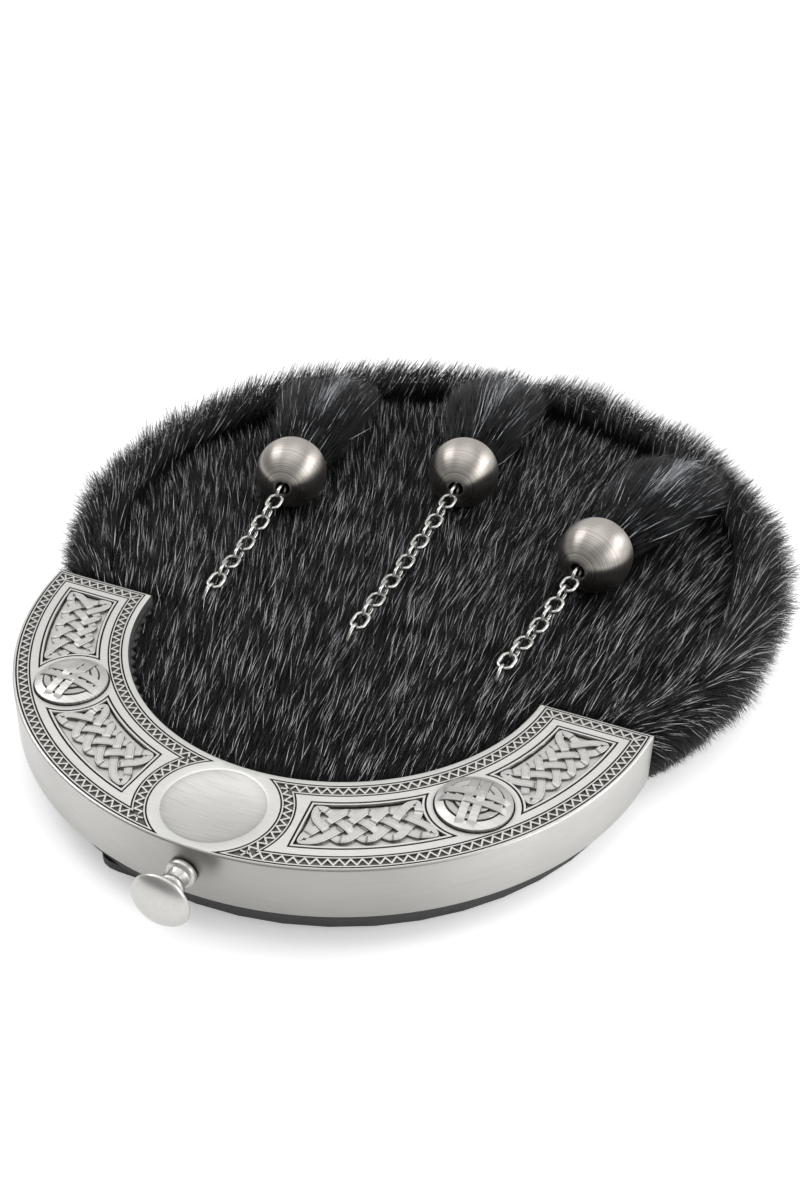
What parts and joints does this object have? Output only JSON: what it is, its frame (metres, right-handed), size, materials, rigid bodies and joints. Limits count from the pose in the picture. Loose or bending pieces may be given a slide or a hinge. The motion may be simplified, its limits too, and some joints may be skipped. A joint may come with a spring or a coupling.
{
  "type": "sporran pouch",
  "caption": "Round fur pouch with a cast half-ring metal mount of raised interlace, a knob, and three chains with ball-capped fur tassels.",
  "frame": {"origin": "middle of the bounding box, on the surface that the pouch lies on", "axes": "+Z out of the pouch's front, +Y from the cantle towards the bottom of the pouch, +X to the right seen from the front with the cantle nearest"},
  "size_m": [0.1884, 0.2293, 0.0381],
  "materials": {
    "pewter": "cast and brushed antique pewter, dark in the recesses",
    "dark_pewter": "turned and brushed dark antique metal",
    "steel": "bright plated wire",
    "fur": "short glossy black fur on the hide",
    "tassel_fur": "longer glossy black fur with a few pale hairs",
    "leather": "smooth black leather"
  },
  "bodies": {
    "root": {"cantle": "pewter", "knob": "pewter", "pinked_edging": "leather", "fur_front": "fur", "fur_band": "fur", "leather_gusset": "leather", "back_panel": "leather", "closing_flap": "leather", "strap_loop_left": "leather", "strap_loop_right": "leather", "ball_left": "dark_pewter", "chain_left": "steel", "tail_left": "tassel_fur", "ball_middle": "dark_pewter", "chain_middle": "steel", "tail_middle": "tassel_fur", "ball_right": "dark_pewter", "chain_right": "steel", "tail_right": "tassel_fur"}
  },
  "joints": []
}
